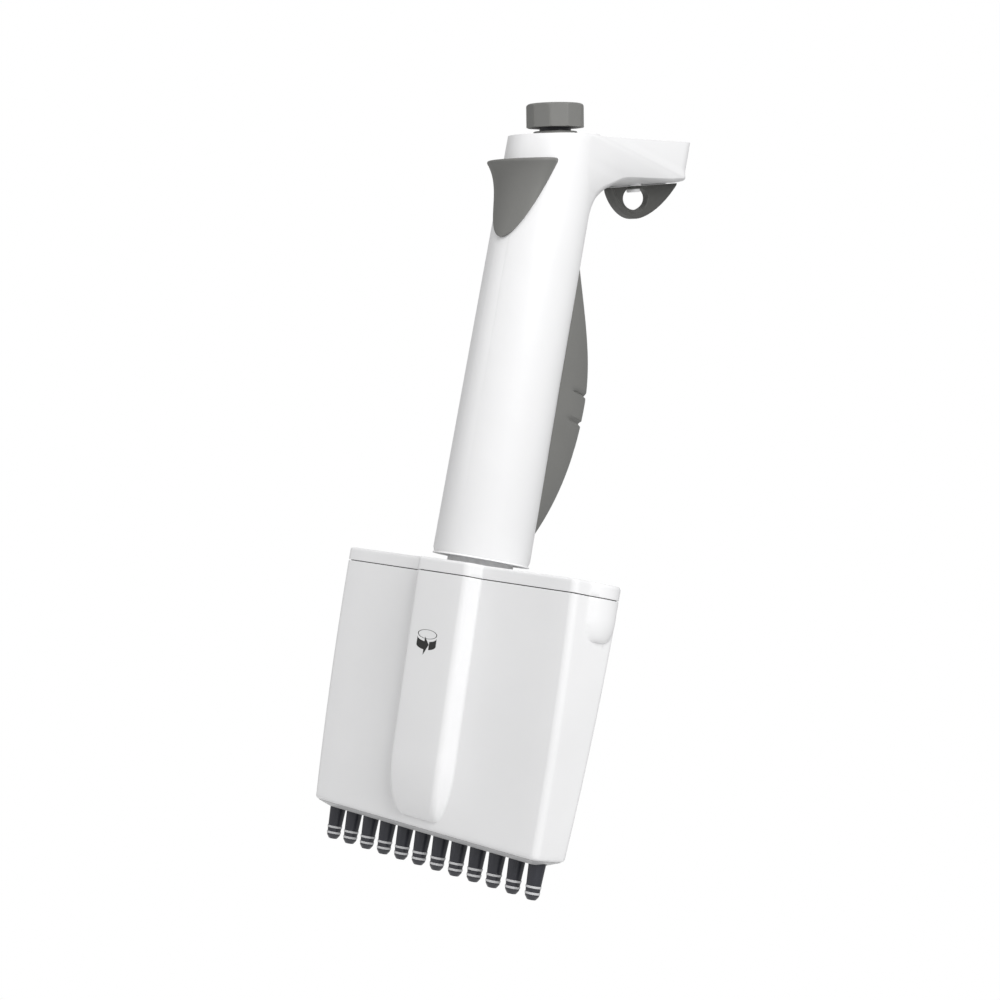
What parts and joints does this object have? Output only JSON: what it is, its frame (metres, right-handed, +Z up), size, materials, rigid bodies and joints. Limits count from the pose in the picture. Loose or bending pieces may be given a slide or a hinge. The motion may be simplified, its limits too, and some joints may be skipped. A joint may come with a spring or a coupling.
{
  "type": "electronic pipette",
  "caption": "Handheld multichannel electronic pipette: cylindrical handle with finger beak, palm grip, press-and-turn knob and tip ejector, on a flat swivelling manifold with a row of nozzles",
  "frame": {"origin": "middle of the row of nozzles, on the underside of the ejector plate that pushes the tips off", "axes": "+X along the row of nozzles, +Z up the handle, -Y the ejector button's side, +Y the beak's and palm grip's side"},
  "size_m": [0.1168, 0.0852, 0.2672],
  "materials": {
    "white_shell": "satin moulded",
    "grey_grip": "soft-touch",
    "dark_nozzle": "satin moulded",
    "steel": "ground",
    "alloy": "machined",
    "natural_polymer": "natural",
    "board": "solder mask",
    "cell_wrap": "shrink wrap",
    "window": "polished"
  },
  "bodies": {
    "handle": {"handle_housing": "white_shell", "head_cap": "white_shell", "display_window": "window", "display_module": "board", "knob_collar": "grey_grip", "rotary_encoder": "dark_nozzle", "circuit_board": "board", "battery": "cell_wrap", "drive_motor": "alloy", "motor_mount": "alloy", "inner_frame": "natural_polymer", "grip_pad": "grey_grip", "hook_stud": "white_shell", "charging_socket": "steel", "swivel_bush": "natural_polymer"},
    "manifold": {"manifold_cap": "white_shell", "manifold_housing": "white_shell", "swivel_neck": "white_shell", "cylinder_block": "alloy", "nozzle_01": "dark_nozzle", "nozzle_02": "dark_nozzle", "nozzle_03": "dark_nozzle", "nozzle_04": "dark_nozzle", "nozzle_05": "dark_nozzle", "nozzle_06": "dark_nozzle", "nozzle_07": "dark_nozzle", "nozzle_08": "dark_nozzle", "nozzle_09": "dark_nozzle", "nozzle_10": "dark_nozzle", "nozzle_11": "dark_nozzle", "nozzle_12": "dark_nozzle", "guide_rod_left": "steel", "guide_rod_right": "steel"},
    "piston_carriage": {"piston_bar": "alloy", "coupling_ring": "steel", "piston_01": "steel", "piston_02": "steel", "piston_03": "steel", "piston_04": "steel", "piston_05": "steel", "piston_06": "steel", "piston_07": "steel", "piston_08": "steel", "piston_09": "steel", "piston_10": "steel", "piston_11": "steel", "piston_12": "steel"},
    "drive": {"drive_rod": "steel"},
    "screw": {"lead_screw": "steel"},
    "ejector": {"ejector_button": "grey_grip", "ejector_rod": "steel", "ejector_sleeve": "natural_polymer", "ejector_spring": "steel"},
    "ejector_frame": {"ejector_yoke": "natural_polymer", "ejector_plate": "white_shell"},
    "selector_shaft": {"knob_shaft": "dark_nozzle", "switch_plunger": "steel"},
    "selector_knob": {"control_knob": "grey_grip"},
    "hook": {"finger_hook": "grey_grip"}
  },
  "joints": [
    {"name": "manifold_swivel", "type": "hinge", "parent": "handle", "child": "manifold", "pos_m": [0, 0, 0.0869], "axis": [0, 0, 1], "continuous": true},
    {"name": "ejector_press", "type": "slide", "parent": "handle", "child": "ejector", "axis": [0, 0, -1], "range_m": [0, 0.008], "stiffness_N_per_m": 1200, "springref_m": -0.004, "deforming": ["ejector_spring"]},
    {"name": "ejector_frame_slide", "type": "slide", "parent": "manifold", "child": "ejector_frame", "axis": [0, 0, -1], "range_m": [0, 0.008]},
    {"name": "piston_stroke", "type": "slide", "parent": "manifold", "child": "piston_carriage", "axis": [0, 0, -1], "range_m": [0, 0.008]},
    {"name": "drive_rod_slide", "type": "slide", "parent": "handle", "child": "drive", "axis": [0, 0, -1], "range_m": [0, 0.008]},
    {"name": "lead_screw_turn", "type": "hinge", "parent": "handle", "child": "screw", "pos_m": [0, 0, 0.14], "axis": [0, 0, 1], "range_deg": [0, 1440]},
    {"name": "knob_press", "type": "slide", "parent": "handle", "child": "selector_shaft", "axis": [0, 0.2588, -0.9659], "range_m": [0, 0.001], "stiffness_N_per_m": 1500, "springref_m": -0.001},
    {"name": "knob_turn", "type": "hinge", "parent": "selector_shaft", "child": "selector_knob", "pos_m": [0, 0, 0.2402], "axis": [0, -0.2588, 0.9659], "continuous": true},
    {"name": "hook_swivel", "type": "hinge", "parent": "handle", "child": "hook", "pos_m": [0, 0.042, 0.23463], "axis": [0, -0.3198, 0.9475], "range_deg": [-45, 45]}
  ],
  "couplings": [
    {"joint": "ejector_frame_slide", "follows": "ejector_press", "ratio": 1},
    {"joint": "drive_rod_slide", "follows": "piston_stroke", "ratio": 1},
    {"joint": "lead_screw_turn", "follows": "piston_stroke", "rad_per_m": 3141.6}
  ]
}
